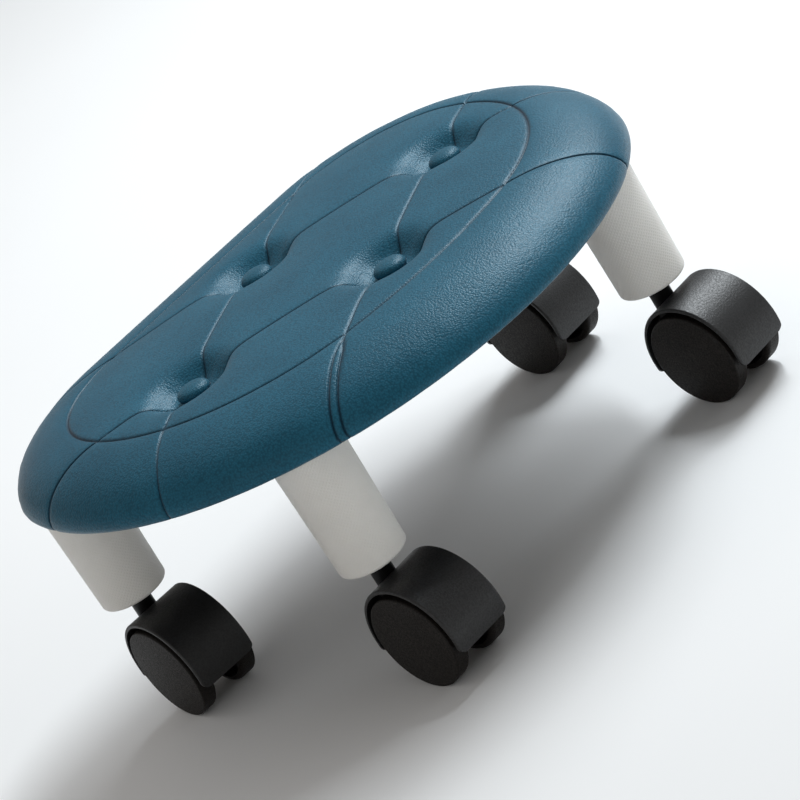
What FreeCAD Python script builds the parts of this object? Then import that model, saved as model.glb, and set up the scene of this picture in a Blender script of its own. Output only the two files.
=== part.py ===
import FreeCAD, Part
import math
import os

from FreeCAD import Placement, Rotation, Vector

# Low rolling stool: a D-shaped upholstered seat on four short legs with twin-wheel casters.
# Millimetres, +Z up, floor at Z = 0. X is the seat's long side and +Y its straight back edge.
# The origin is on the floor, under the middle of the seat's outline.

UP = Vector(0, 0, 1)
ALONG_X = Vector(1, 0, 0)

# ---- seat outline, a D made of one line and tangent arcs (turns are in degrees)
OUTLINE = {"back": 140.1, "flat": 73.0, "corner_r": 95.5, "corner_turn": 74.0,
           "side_r": 164.5, "side_turn": 86.0}
TOP_SEAM = {"back": 97.0, "flat": 70.5, "corner_r": 64.0, "corner_turn": 81.0,
            "side_r": 111.8, "side_turn": 86.0}

# ---- seat heights
UNDERSIDE = 124.0          # underside of the wrapped cover
WIDEST = 128.0             # where the side is at the full outline
SEAM_HEIGHT = 152.3        # height of the oval top seam
CROWN = 3.0                # rise of the top above the seam
CROWN_RINGS = (0.2, 0.45, 0.8)
SIDE_POWER = 1.11          # 1 is an elliptical side, more is flatter
SIDE_STEPS = 9
BOTTOM_TUCK = 4.0          # how far the lower edge turns in

# ---- upholstery
COVER_T = 1.2
WRAP = 34.0                # width of the cover that is folded under the board
DUST_T = 0.6
DUST_INSET = 17.0
BOARD_T = 12.0
BOARD_INSET = 9.0
PAD_CLEARANCE = 0.2
EDGE_STRIPS = 16           # lengths of foam glued round the board's edge
STRIP_GAP = 0.3

# ---- tufting buttons: a diamond about BUTTON_Y
BUTTON_X = 92.0
BUTTON_Y = 4.5
BUTTON_SPREAD = 53.5
BUTTON_TOP = 151.0
BUTTON_R = 8.6
BUTTON_RIM = 2.0
BUTTON_DOME = 4.5
DIMPLE_R = 18.0
DIMPLE_BOTTOM = 142.5
TIE_R = 0.9
TIE_HOLE_R = 1.6
TOGGLE = (14.0, 3.0, 0.9)
BUTTONS = {
    "left": (-BUTTON_X, BUTTON_Y),
    "front": (0.0, BUTTON_Y - BUTTON_SPREAD),
    "back": (0.0, BUTTON_Y + BUTTON_SPREAD),
    "right": (BUTTON_X, BUTTON_Y),
}

# ---- staples under the dust cover's edge
STAPLE_COUNT = 40
STAPLE_WIDTH = 10.0
STAPLE_WIRE = 0.7
STAPLE_DEPTH = 6.0
STAPLE_INSET = 22.0
STAPLE_TO_LEG = 8.0        # no staple comes nearer than this to a leg's side

# ---- legs
LEG_BOTTOM = 60.8
LEG_TOP = UNDERSIDE - DUST_T
LEG_R_BOTTOM = 17.4
LEG_R_TOP = 18.5
LEG_WALL = 2.4
LEG_FLOOR = 3.0
LEG_EDGE_R = 2.0
LEG_POST_R = 9.5
LEG_RIB_T = 2.2
LEG_BOLT_DEPTH = 16.0
BOLT_R = 4.0
BOLT_ROOT_R = 3.3
BOLT_PITCH = 1.25
BOLT_HOLE_R = 4.05
TEE_FLANGE_R = 11.0
TEE_FLANGE_T = 1.5
TEE_BARREL_R = 5.0
TEE_BARREL_L = 9.0

# ---- caster stem and its socket
SOCKET_R = 7.0
SOCKET_BORE_R = 5.55
SOCKET_LENGTH = 38.0
STEM_R = 5.5
STEM_TOP = LEG_BOTTOM + 36.0
NECK_BOTTOM = 42.8
PIVOT_R = 4.5
PIVOT_BORE_R = 4.55
PIVOT_BOTTOM = 27.0
GRIP_Z = STEM_TOP - 9.0
GRIP_W = 3.0
GRIP_ROOT_R = 4.6
CLIP_Z = 32.0
CLIP_W = 1.2
CLIP_ROOT_R = 3.6
CLIP_R = 5.6

# ---- caster
WHEEL_R = 25.0
TRAIL = 17.9
WHEEL_IN = 8.2             # inner face of a wheel, from the caster's middle plane
WHEEL_OUT = 17.4           # where the outer face starts to dome
WHEEL_DOME = 0.9
FACE_EDGE_R = 0.8
FACE_FLAT_R = 1.5          # flat spot in the middle of the outer face
TREAD_EDGE_R = 2.4
TREAD_T = 3.0
HOOD_R = 29.5
HOOD_WALL = 1.8
HOOD_HALF_W = 16.5
HOOD_EDGE_R = 1.0
HOOD_BOTTOM = 18.0
HOOD_CORNER_R = 4.0
WEB_HALF = 5.0
BOSS_R = 7.6               # round boss in the web, which holds the stem
BOSS_BOTTOM = 20.0
NECK_BORE_R = 5.58
NECK_SEAT = 42.5
AXLE_R = 3.0
AXLE_HALF = 15.2
WHEEL_BORE_R = 3.05
WHEEL_BORE_END = 15.6
HUB_IN = 5.5
HUB_R = 6.5
RING_RIB_R = 14.0          # ring rib inside the wheel, between hub and rim
RING_RIB_T = 1.6

# name: (leg x, leg y, turn of the caster about its stem in degrees, 0 = trailing straight to -Y)
CORNERS = {
    "back_left": (-133.1, 85.8, -5.0),
    "front_left": (-104.4, -75.6, 1.2),
    "front_right": (104.4, -75.6, 2.8),
    "back_right": (133.1, 85.8, 1.7),
}


# ---------------------------------------------------------------- helpers
def save(shape, node):
    shape.exportStep("parts/" + node + ".step")
    print(node, shape.isValid(), len(shape.Solids), round(shape.Volume, 1))


def cylinder(radius, low, high, x=0.0, y=0.0):
    return Part.makeCylinder(radius, high - low, Vector(x, y, low), UP)


def drum(radius, low, high):
    """A cylinder about X."""
    return Part.makeCylinder(radius, high - low, Vector(low, 0, 0), ALONG_X)


def outline_edges(steps, to_point):
    """Edges of a profile: each step is an end point, or a pair (middle, end) of an arc."""
    edges = []
    here = to_point(steps[0])
    for step in steps[1:] + steps[:1]:
        if isinstance(step[0], tuple):
            middle, end = to_point(step[0]), to_point(step[1])
            edges.append(Part.Arc(here, middle, end).toShape())
        else:
            end = to_point(step)
            edges.append(Part.LineSegment(here, end).toShape())
        here = end
    return edges


def lathe(steps):
    """Solid of revolution about Z from (radius, height) steps."""
    wire = Part.Wire(outline_edges(steps, lambda p: Vector(p[0], 0, p[1])))
    return Part.Face(wire).revolve(Vector(0, 0, 0), UP, 360)


def lathe_x(steps):
    """Solid of revolution about X from (x, radius) steps."""
    wire = Part.Wire(outline_edges(steps, lambda p: Vector(p[0], 0, p[1])))
    return Part.Face(wire).revolve(Vector(0, 0, 0), ALONG_X, 360)


def round_corner(corner_x, corner_y, radius, turn_from, turn_to):
    """Middle and end of a rounding arc about a centre, as an outline step."""
    middle = math.radians((turn_from + turn_to) / 2)
    end = math.radians(turn_to)
    return ((corner_x + radius * math.cos(middle), corner_y + radius * math.sin(middle)),
            (corner_x + radius * math.cos(end), corner_y + radius * math.sin(end)))


def dome(radius, low, rise, flat=0.0):
    """Middle and end of a sphere's arc from (radius, low) up to a flat spot round the axis."""
    sphere_r = (radius ** 2 + rise ** 2) / (2 * rise)
    top = low + rise
    end = math.asin(flat / sphere_r)
    middle = (math.asin(radius / sphere_r) + end) / 2
    return tuple((sphere_r * math.sin(turn), top - sphere_r * (1 - math.cos(turn)))
                 for turn in (middle, end))


# ---------------------------------------------------------------- seat shapes
def mix(first, second, share):
    return {key: first[key] + (second[key] - first[key]) * share for key in first}


def arc_point(centre, radius, turn):
    """Point of an arc whose turn is measured clockwise from +Y, in radians."""
    return Vector(centre.x + radius * math.sin(turn), centre.y + radius * math.cos(turn), centre.z)


def d_wire(shape, inset, height):
    """The D outline, moved inwards by inset, as a closed wire at a height."""
    turn_1 = math.radians(shape["corner_turn"])
    turn_2 = turn_1 + math.radians(shape["side_turn"])
    corner_r, side_r = shape["corner_r"], shape["side_r"]
    corner = Vector(shape["flat"], shape["back"] - corner_r, height)
    side = arc_point(corner, corner_r - side_r, turn_1)
    front_r = side_r + side.x / math.sin(turn_2)
    front = arc_point(side, side_r - front_r, turn_2)
    right = [(corner, corner_r - inset, 0.0, turn_1), (side, side_r - inset, turn_1, turn_2)]
    edges = []
    for centre, radius, low, high in right:
        ends = [arc_point(centre, radius, turn) for turn in (low, (low + high) / 2, high)]
        edges.append(Part.Arc(*ends).toShape())
    mirrored = [edge.mirror(Vector(0, 0, 0), ALONG_X) for edge in edges]
    last = arc_point(side, side_r - inset, turn_2)
    nose = Part.Arc(last, Vector(0, front.y - front_r + inset, height), Vector(-last.x, last.y, height))
    back_y = shape["back"] - inset
    back = Part.LineSegment(Vector(-shape["flat"], back_y, height), Vector(shape["flat"], back_y, height))
    return Part.Wire([back.toShape()] + edges + [nose.toShape()] + mirrored[::-1])


def d_plate(shape, inset, low, high):
    return Part.Face(d_wire(shape, inset, low)).extrude(Vector(0, 0, high - low))


def cushion(skin):
    """The cushion's body, thinner than its outside by skin all round."""
    tuck = BOTTOM_TUCK
    wires = [d_wire(OUTLINE, skin + tuck * 0.75, UNDERSIDE + skin),
             d_wire(OUTLINE, skin + tuck * 0.18, UNDERSIDE + skin + tuck * 0.35)]
    for step in range(SIDE_STEPS + 1):
        turn = math.radians(90.0 * step / SIDE_STEPS)
        share = 1 - abs(math.cos(turn)) ** SIDE_POWER
        rise = (SEAM_HEIGHT - skin - WIDEST) * math.sin(turn) ** SIDE_POWER
        wires.append(d_wire(mix(OUTLINE, TOP_SEAM, share), skin, WIDEST + rise))
    for share in CROWN_RINGS:
        top = SEAM_HEIGHT - skin + CROWN * (1 - (1 - share) ** 2)
        wires.append(d_wire(TOP_SEAM, skin + TOP_SEAM["corner_r"] * share, top))
    body = Part.makeLoft(wires, True, True)
    for x, y in BUTTONS.values():
        centre = Vector(x, y, DIMPLE_BOTTOM + DIMPLE_R)
        body = body.cut(Part.makeSphere(DIMPLE_R + skin, centre))
    return body


def make_seat():
    board_low = UNDERSIDE + COVER_T
    board_high = board_low + BOARD_T
    inside = cushion(COVER_T)

    board = d_plate(OUTLINE, BOARD_INSET, board_low, board_high)
    for x, y in BUTTONS.values():
        board = board.cut(cylinder(TIE_HOLE_R, board_low - 1, board_high + 1, x, y))
    for x, y, _ in CORNERS.values():
        board = board.cut(cylinder(TEE_BARREL_R, board_low - 1, board_high + 1, x, y))
    save(board, "seat_board")

    across = 3 * OUTLINE["back"]
    above = Part.makeBox(across, across, BUTTON_TOP, Vector(-across / 2, -across / 2, board_high))
    edge = inside.cut(above)
    edge = edge.cut(d_plate(OUTLINE, BOARD_INSET - PAD_CLEARANCE, board_low - 1, board_high + 1))
    for index in range(EDGE_STRIPS // 2):
        gap = Part.makeBox(across, STRIP_GAP, BUTTON_TOP, Vector(-across / 2, -STRIP_GAP / 2, 0))
        gap.rotate(Vector(0, 0, 0), UP, 360 * (index + 0.5) / EDGE_STRIPS)
        edge = edge.cut(gap)
    save(edge, "edge_foam")

    pad = inside.common(above)
    for x, y in BUTTONS.values():
        pad = pad.cut(cylinder(TIE_HOLE_R, board_high - 1, BUTTON_TOP, x, y))
    for x, y, _ in CORNERS.values():
        head = board_high + TEE_FLANGE_T + PAD_CLEARANCE
        pad = pad.cut(cylinder(TEE_FLANGE_R + PAD_CLEARANCE, board_high - 1, head, x, y))
    save(pad, "foam_pad")

    cover = cushion(0.0).cut(inside)
    cover = cover.cut(d_plate(OUTLINE, WRAP, UNDERSIDE - 1, board_low + 0.5))
    for x, y in BUTTONS.values():
        cover = cover.cut(cylinder(TIE_HOLE_R, board_high, BUTTON_TOP, x, y))
    for x, y, _ in CORNERS.values():
        cover = cover.cut(cylinder(BOLT_HOLE_R + 0.5, UNDERSIDE - 1, board_low + 0.5, x, y))
    save(cover, "seat_cover")

    dust = d_plate(OUTLINE, DUST_INSET, LEG_TOP, UNDERSIDE)
    for x, y, _ in CORNERS.values():
        dust = dust.cut(cylinder(BOLT_HOLE_R + 0.5, LEG_TOP - 1, UNDERSIDE + 1, x, y))
    save(dust, "dust_cover")


def make_buttons():
    rim_z = BUTTON_TOP - BUTTON_DOME
    base_z = rim_z - BUTTON_RIM
    cap = lathe([(0, base_z), (BUTTON_R - 0.5, base_z), (BUTTON_R, rim_z),
                 dome(BUTTON_R, rim_z, BUTTON_DOME)])
    for name, (x, y) in BUTTONS.items():
        save(cap.translated(Vector(x, y, 0)), "tuft_button_" + name)

    toggle_low = UNDERSIDE + 0.1
    length, width, thick = TOGGLE
    ties = []
    for x, y in BUTTONS.values():
        twine = cylinder(TIE_R, toggle_low, base_z, x, y)
        bar = Part.makeBox(length, width, thick, Vector(x - length / 2, y - width / 2, toggle_low))
        ties.append(twine.fuse(bar).removeSplitter())
    save(Part.makeCompound(ties), "button_ties")


def make_staples():
    path = d_wire(OUTLINE, STAPLE_INSET, LEG_TOP)
    points = path.discretize(Number=STAPLE_COUNT + 1)[:STAPLE_COUNT]
    legs = [Vector(x, y, LEG_TOP) for x, y, _ in CORNERS.values()]
    staples = []
    for index, point in enumerate(points):
        if min(point.distanceToPoint(leg) for leg in legs) < LEG_R_TOP + STAPLE_TO_LEG:
            continue
        before = points[index - 1]
        after = points[(index + 1) % STAPLE_COUNT]
        direction = after - before
        crown = Part.makeBox(STAPLE_WIDTH, STAPLE_WIRE, STAPLE_WIRE,
                             Vector(-STAPLE_WIDTH / 2, -STAPLE_WIRE / 2, -STAPLE_WIRE))
        for side in (-1, 1):
            edge = side * (STAPLE_WIDTH / 2 - STAPLE_WIRE / 2)
            prong = Part.makeBox(STAPLE_WIRE, STAPLE_WIRE, STAPLE_DEPTH + STAPLE_WIRE,
                                 Vector(edge - STAPLE_WIRE / 2, -STAPLE_WIRE / 2, -STAPLE_WIRE))
            crown = crown.fuse(prong)
        turn = math.degrees(math.atan2(direction.y, direction.x))
        crown = crown.removeSplitter()
        crown.Placement = Placement(point, Rotation(UP, turn))
        staples.append(crown)
    save(Part.makeCompound(staples), "cover_staples")


# ---------------------------------------------------------------- legs
def leg_shape():
    edge = LEG_EDGE_R
    outer = lathe([(0, LEG_BOTTOM), (LEG_R_BOTTOM - edge, LEG_BOTTOM),
                   round_corner(LEG_R_BOTTOM - edge, LEG_BOTTOM + edge, edge, -90, 0),
                   (LEG_R_TOP, LEG_TOP), (0, LEG_TOP)])
    hollow = lathe([(0, LEG_BOTTOM + LEG_FLOOR), (LEG_R_BOTTOM - LEG_WALL, LEG_BOTTOM + LEG_FLOOR),
                    (LEG_R_TOP - LEG_WALL, LEG_TOP + 1), (0, LEG_TOP + 1)])
    post = cylinder(LEG_POST_R, LEG_BOTTOM, LEG_TOP)
    ribs = []
    for turn in (0, 90):
        rib = Part.makeBox(2 * LEG_R_BOTTOM - LEG_WALL, LEG_RIB_T, LEG_TOP - LEG_BOTTOM - 1,
                           Vector(-LEG_R_BOTTOM + LEG_WALL / 2, -LEG_RIB_T / 2, LEG_BOTTOM + 1))
        rib.rotate(Vector(0, 0, 0), UP, turn + 45)
        ribs.append(rib)
    leg = outer.cut(hollow).fuse([post] + ribs)
    leg = leg.cut(cylinder(SOCKET_R, LEG_BOTTOM - 1, LEG_BOTTOM + SOCKET_LENGTH))
    leg = leg.cut(cylinder(BOLT_HOLE_R, LEG_TOP - LEG_BOLT_DEPTH, LEG_TOP + 1))
    return leg.removeSplitter()


def bolt_shape(low, high):
    """A stud whose thread is cut as plain ring grooves, one for each turn."""
    steps = [(0, low), (BOLT_ROOT_R, low)]
    turns = int((high - low) / BOLT_PITCH)
    for turn in range(turns):
        crest = low + (turn + 0.5) * BOLT_PITCH
        steps.append((BOLT_R, crest))
        steps.append((BOLT_ROOT_R, crest + BOLT_PITCH / 2))
    steps.append((BOLT_ROOT_R, high))
    steps.append((0, high))
    return lathe(steps)


def make_legs():
    leg = leg_shape()
    board_low = UNDERSIDE + COVER_T
    board_high = board_low + BOARD_T
    bolt = bolt_shape(LEG_TOP - LEG_BOLT_DEPTH + 1, board_high + 0.2)
    barrel = cylinder(TEE_BARREL_R - 0.02, board_high - TEE_BARREL_L, board_high)
    flange = cylinder(TEE_FLANGE_R, board_high, board_high + TEE_FLANGE_T)
    nut = barrel.fuse(flange).cut(cylinder(BOLT_HOLE_R, board_low, board_high + TEE_FLANGE_T + 1))
    nut = nut.removeSplitter()
    socket = cylinder(SOCKET_R - 0.02, LEG_BOTTOM, LEG_BOTTOM + SOCKET_LENGTH - 0.2)
    socket = socket.cut(cylinder(SOCKET_BORE_R, LEG_BOTTOM - 1, LEG_BOTTOM + SOCKET_LENGTH))
    bolts, nuts = [], []
    for name, (x, y, _) in CORNERS.items():
        here = Vector(x, y, 0)
        save(leg.translated(here), "leg_" + name)
        save(socket.translated(here), "stem_socket_" + name)
        bolts.append(bolt.translated(here))
        nuts.append(nut.translated(here))
    save(Part.makeCompound(bolts), "leg_bolts")
    save(Part.makeCompound(nuts), "tee_nuts")


# ---------------------------------------------------------------- casters
# A caster is made with its stem on the Z axis and its wheels trailing to -Y.
def to_axle(shape):
    return shape.translated(Vector(0, -TRAIL, WHEEL_R))


def stem_shape():
    chamfer = 1.2
    return lathe([
        (0, PIVOT_BOTTOM), (PIVOT_R - 0.6, PIVOT_BOTTOM), (PIVOT_R, PIVOT_BOTTOM + 0.6),
        (PIVOT_R, CLIP_Z), (CLIP_ROOT_R, CLIP_Z), (CLIP_ROOT_R, CLIP_Z + CLIP_W),
        (PIVOT_R, CLIP_Z + CLIP_W), (PIVOT_R, NECK_BOTTOM), (STEM_R, NECK_BOTTOM),
        (STEM_R, GRIP_Z), (GRIP_ROOT_R, GRIP_Z), (GRIP_ROOT_R, GRIP_Z + GRIP_W),
        (STEM_R, GRIP_Z + GRIP_W), (STEM_R, STEM_TOP - chamfer), (STEM_R - chamfer, STEM_TOP),
        (0, STEM_TOP)])


def ring(inner, outer, low, high, gap=0.0):
    body = cylinder(outer, low, high).cut(cylinder(inner, low - 1, high + 1))
    if gap:
        body = body.cut(Part.makeBox(outer * 2, gap, high - low + 2, Vector(0, -gap / 2, low - 1)))
    return body


def hood_shape():
    wide, edge = HOOD_HALF_W, HOOD_EDGE_R
    outside = to_axle(lathe_x([
        (-wide, 0), (-wide, HOOD_R - edge), round_corner(-wide + edge, HOOD_R - edge, edge, 180, 90),
        (wide - edge, HOOD_R), round_corner(wide - edge, HOOD_R - edge, edge, 90, 0), (wide, 0)]))
    top = WHEEL_R + HOOD_R + 1
    hood = outside
    for low, high in ((-wide - 1, -WEB_HALF), (WEB_HALF, wide + 1)):
        hood = hood.cut(to_axle(drum(HOOD_R - HOOD_WALL, low, high)))
    hood = hood.fuse(cylinder(BOSS_R, BOSS_BOTTOM, top).common(outside))
    corner = HOOD_CORNER_R
    keep = Part.Wire(outline_edges([
        (-wide - 1, top), (-wide, top), (-wide, HOOD_BOTTOM + corner),
        round_corner(-wide + corner, HOOD_BOTTOM + corner, corner, 180, 270),
        (wide - corner, HOOD_BOTTOM),
        round_corner(wide - corner, HOOD_BOTTOM + corner, corner, 270, 360),
        (wide, top)][1:], lambda p: Vector(p[0], -80, p[1])))
    hood = hood.common(Part.Face(keep).extrude(Vector(0, 120, 0)))
    hood = hood.cut(cylinder(PIVOT_BORE_R, PIVOT_BOTTOM - 0.5, NECK_SEAT + 1))
    hood = hood.cut(cylinder(NECK_BORE_R, NECK_SEAT, top))
    hood = hood.cut(cylinder(CLIP_R + 0.1, CLIP_Z - 0.2, CLIP_Z + CLIP_W + 0.2))
    hood = hood.cut(to_axle(drum(AXLE_R, -WEB_HALF - 1, WEB_HALF + 1)))
    return hood.removeSplitter()


def axle_shape():
    half, chamfer = AXLE_HALF, 0.6
    radius = AXLE_R - 0.01
    return to_axle(lathe_x([
        (-half, 0), (-half, radius - chamfer), (-half + chamfer, radius),
        (half - chamfer, radius), (half, radius - chamfer), (half, 0)]))


def wheel_shape():
    """The wheel on the +X side of the caster."""
    edge, inner_edge = FACE_EDGE_R, TREAD_EDGE_R
    rim_r = WHEEL_R - TREAD_T
    plate = WHEEL_OUT - 2.2
    face_middle, face_end = dome(WHEEL_R - edge, WHEEL_OUT, WHEEL_DOME, FACE_FLAT_R)
    return to_axle(lathe_x([
        (WHEEL_IN, rim_r), (WHEEL_IN, WHEEL_R - inner_edge),
        round_corner(WHEEL_IN + inner_edge, WHEEL_R - inner_edge, inner_edge, 180, 90),
        (WHEEL_OUT - edge, WHEEL_R),
        round_corner(WHEEL_OUT - edge, WHEEL_R - edge, edge, 90, 0),
        (face_middle[::-1], face_end[::-1]), (face_end[1], 0),
        (WHEEL_BORE_END, 0), (WHEEL_BORE_END, WHEEL_BORE_R), (HUB_IN, WHEEL_BORE_R),
        (HUB_IN, HUB_R), (plate, HUB_R + 0.6),
        (plate, RING_RIB_R - RING_RIB_T / 2), (WHEEL_IN, RING_RIB_R - RING_RIB_T / 2),
        (WHEEL_IN, RING_RIB_R + RING_RIB_T / 2), (plate, RING_RIB_R + RING_RIB_T / 2),
        (plate, rim_r)]))


def make_casters():
    stem, hood, axle, wheel = stem_shape(), hood_shape(), axle_shape(), wheel_shape()
    other_wheel = wheel.mirror(Vector(0, 0, 0), ALONG_X)
    grip = ring(GRIP_ROOT_R + 0.1, SOCKET_BORE_R - 0.02, GRIP_Z + 0.1, GRIP_Z + GRIP_W - 0.1, 2.0)
    clip = ring(CLIP_ROOT_R + 0.1, CLIP_R - 0.3, CLIP_Z + 0.1, CLIP_Z + CLIP_W - 0.1, 2.0)
    grips, clips = [], []
    for name, (x, y, turn) in CORNERS.items():
        place = Placement(Vector(x, y, 0), Rotation(UP, turn)).toMatrix()
        save(stem.transformed(place), "caster_stem_" + name)
        save(hood.transformed(place), "caster_hood_" + name)
        save(axle.transformed(place), "caster_axle_" + name)
        save(wheel.transformed(place), "right_wheel_" + name)
        save(other_wheel.transformed(place), "left_wheel_" + name)
        grips.append(grip.transformed(place))
        clips.append(clip.transformed(place))
    save(Part.makeCompound(grips), "stem_grip_rings")
    save(Part.makeCompound(clips), "stem_clips")


os.makedirs("parts", exist_ok=True)
make_seat()
make_buttons()
make_staples()
make_legs()
make_casters()
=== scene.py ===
import math

import bpy
import numpy as np
from mathutils import Matrix, Vector, kdtree
from mathutils.geometry import delaunay_2d_cdt


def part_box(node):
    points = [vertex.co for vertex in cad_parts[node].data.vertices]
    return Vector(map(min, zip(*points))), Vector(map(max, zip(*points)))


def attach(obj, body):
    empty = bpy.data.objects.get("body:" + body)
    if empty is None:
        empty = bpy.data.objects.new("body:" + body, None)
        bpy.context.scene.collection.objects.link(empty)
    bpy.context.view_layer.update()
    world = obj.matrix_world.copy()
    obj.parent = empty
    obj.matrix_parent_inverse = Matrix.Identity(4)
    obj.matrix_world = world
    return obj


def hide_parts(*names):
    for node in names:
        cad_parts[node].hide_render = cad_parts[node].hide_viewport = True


# The looks of a low rolling stool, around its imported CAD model. Lengths named below are millimetres, and
# MM turns them into Blender's metres. X is the seat's long side, +Y its straight back edge, +Z up.

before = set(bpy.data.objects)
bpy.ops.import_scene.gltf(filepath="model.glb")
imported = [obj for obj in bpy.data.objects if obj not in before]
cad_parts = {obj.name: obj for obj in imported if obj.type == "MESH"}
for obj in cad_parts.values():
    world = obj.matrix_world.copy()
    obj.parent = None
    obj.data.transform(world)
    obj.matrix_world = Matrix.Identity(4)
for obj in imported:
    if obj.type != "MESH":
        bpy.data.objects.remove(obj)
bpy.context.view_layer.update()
MM = 0.001

# ---- seat outline and top seam: a D of one line and tangent arcs, turns in degrees
OUTLINE = {"back": 140.1, "flat": 73.0, "corner_r": 95.5, "corner_turn": 74.0,
           "side_r": 164.5, "side_turn": 86.0}
TOP_SEAM = {"back": 97.0, "flat": 70.5, "corner_r": 64.0, "corner_turn": 81.0,
            "side_r": 111.8, "side_turn": 86.0}
UNDERSIDE = 124.0
WIDEST = 128.0
SEAM_HEIGHT = 152.3
CROWN = 3.0
CROWN_REACH = 64.0         # from the seam inwards, where the top has its full crown
SIDE_POWER = 1.11          # 1 is an elliptical side, more is flatter
PROFILE_STEPS = 2000
TUCK = 4.0                 # radius of the lower edge
TUCK_TURNS = (22.5, 45.0, 67.5, 90.0)
WRAP = 34.0                # width of the cover that is folded under the board
WRAP_ROWS = (6.0, 8.5, 11.0, 14.0, 17.5, 27.0, WRAP)    # rows of points on it, as insets from the outline
WRAP_EDGE_BULGE = 0.4
RELIEF_FADES = (UNDERSIDE - 0.5, UNDERSIDE + 3.0)       # heights between which grooves and wrinkles begin
INNER_ROW = 20.0           # inset of the row halfway along the wrap's inner side
INNER_ROWS = 6             # the last rows, from the wrap's edge inwards, which nothing draws in or swells
COVER_T = 1.2
BOARD_EDGE = 8.8           # inset of the pocket that holds the board
POCKET_TOP = 139.0

# ---- tufting
FLOOR_R = 9.0              # flat floor of a dimple, round the button
DIMPLE_DEPTH = 10.2
DIMPLE_WIDTH = 10.2
FOLD_DEPTH = 0.55          # soft valley along a tuft line
FOLD_WIDTH = 3.0
FOLD_POWER = 1.4           # 2 is a bell-shaped valley, less is sharper at its bottom
FOLD_AT_BUTTON = 1.3       # how much deeper the valley is inside a dimple
FOLD_PEAK_R = 15.0         # where it is deepest, from the button's middle
GROOVE_DEPTH = 0.65        # narrow stitched groove of a tuft line
GROOVE_WIDTH = 0.50
GROOVE_AT_BUTTON = 0.7     # how much deeper the groove is inside a dimple, as a share
GROOVE_PEAK_R = 12.0
PEAK_WIDTH = 7.0
LEAST_SLOPE = 0.3          # floor of the cosine that turns a plan distance from the seam into a real one
LEAST_STRETCH = 0.05       # floor of the squared cosine that does so for the tuft lines
CROSSING_SHARE = 0.25      # share of the shallower groove that is added where a line crosses the seam
PAINTED_SHADE_WIDTH = 0.72        # half width of the painted shade that darkens a groove's core
PAINTED_SHADE_SHIFT = 0.3         # how far that painted shade is moved beside a tuft line's groove, onto one of its walls
PAINTED_SHADE_SIDES = np.array([-1.0, -1.0, 1.0, 1.0, 1.0])    # on which side of each line, and of the twin, that painted shade lies
SEAM_SHADE = 0.85          # below 1, the seam's painted shade is wider than a tuft line's
SEAM_FOLD = 0.35
SEAM_GROOVE_DEPTH = 0.7
SEAM_GROOVE_WIDTH = 0.55
TWIN_LINE = 3              # the front-to-right line bends before the seam and is two grooves below it
TWIN_SPREAD = 2.0
TWIN_OPENS = 14.0          # from the seam outwards, where the two grooves are fully apart
LINE_BEND = 1.8
BEND_FROM, BEND_TO = 12.0, 46.0     # distances from the front button between which it bends
PLEATS = 13                # wrinkles round a button
PLEATS_BETWEEN = 9         # a weaker second set, which makes them uneven
PLEATS_BETWEEN_SHARE = 0.6
PLEAT_PHASES = (1.7, 2.9)  # radians by which the two sets are ahead of those round the button before
PLEAT_HEIGHT = 0.10
PLEAT_RING_R = 13.0
PLEAT_RING_WIDTH = 5.0

# ---- swelling of the padded cover, by cloth simulation
VOXEL = 5.0
SWELL_FRAMES = 20
CLOTH = {"quality": 5, "mass": 0.3, "tension_stiffness": 25.0, "compression_stiffness": 25.0,
         "shear_stiffness": 10.0, "bending_stiffness": 0.5, "use_pressure": True,
         "uniform_pressure_force": 4.0, "vertex_group_mass": "held"}
SWELL_MOST = 1.5           # most the cover moves away from its drawn shape
SWELL_NEIGHBOURS = 8       # coarse points that carry each fine point
HELD_BY_LINE = 0.45        # how firmly a sewn line holds the cover, where 1 is fixed
HELD_ROUND_LINE = (1.0, VOXEL)      # its hold fades between these distances from it
HELD_ROUND_BUTTON = (1.0, 6.0)      # a button's, between these distances from its dimple's floor
HELD_OVER_BOARD = (-1.0, 6.0)       # the board's, between these heights over the widest row
HELD_LEAST = 0.05          # points held less than this are free

# ---- folds of the cover where it is turned under the board
WRAP_PLEATS = 46
WRAP_PLEAT_DEPTH = 0.9
WRAP_PLEAT_POWER = 3       # higher makes them narrower, with wider gaps
WRAP_WAVES = 5             # times round the seat that they crowd together and spread
WRAP_CROWDING = 0.7        # by how much, in radians of their own wave
WRAP_PLEATS_OVER = 1.0     # how far over the underside they reach
WRAP_PLEATS_BEGIN = (1.5, 7.0)      # insets between which they grow
WRAP_PLEATS_END = (13.0, 17.0)

# ---- mesh spacing
GROOVE_OFFSETS = (0.2, 0.4, 0.65, 1.1, 1.9, 3.0, 4.5)
COLUMN_OFFSETS = (0.2, 0.4, 0.65, 1.0, 1.4, 1.7, 1.95, 2.15, 2.35, 2.55, 2.8, 3.1, 3.6, 4.5)
ALONG_GROOVE = 1.7
LINE_REACH = 4 * OUTLINE["flat"]    # tuft lines have points this far each way, which is past the edge
SEAM_GAP = 0.9 * GROOVE_OFFSETS[0]  # but none outside the seam, or nearer to it than this
LEAST_APART = 0.3          # between points of the tuft lines; a seam's points keep LEAST_FROM_SEAM
LEAST_FROM_SEAM = 0.34
TOP_SPACING = 3.0
DIMPLE_SPACING = 1.7
DIMPLE_REACH = 2.2         # how far that spacing reaches from a dimple's floor, in dimple widths
FILL_APART = 0.6           # least distance between those points, as a share of their spacing
GRID_ROW = math.sqrt(0.75)          # height of a triangle of the grid, as a share of its side
GRID_HALF = np.array([1.4, 1.0]) * TOP_SEAM["side_r"]      # half its size, more than the whole top
SIDE_SPACING = 3.2


# ---------------------------------------------------------------- small helpers
def middle(node):
    """Middle of a CAD node's box, in millimetres."""
    low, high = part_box(node)
    return (Vector(low) + Vector(high)) / (2 * MM)


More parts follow.
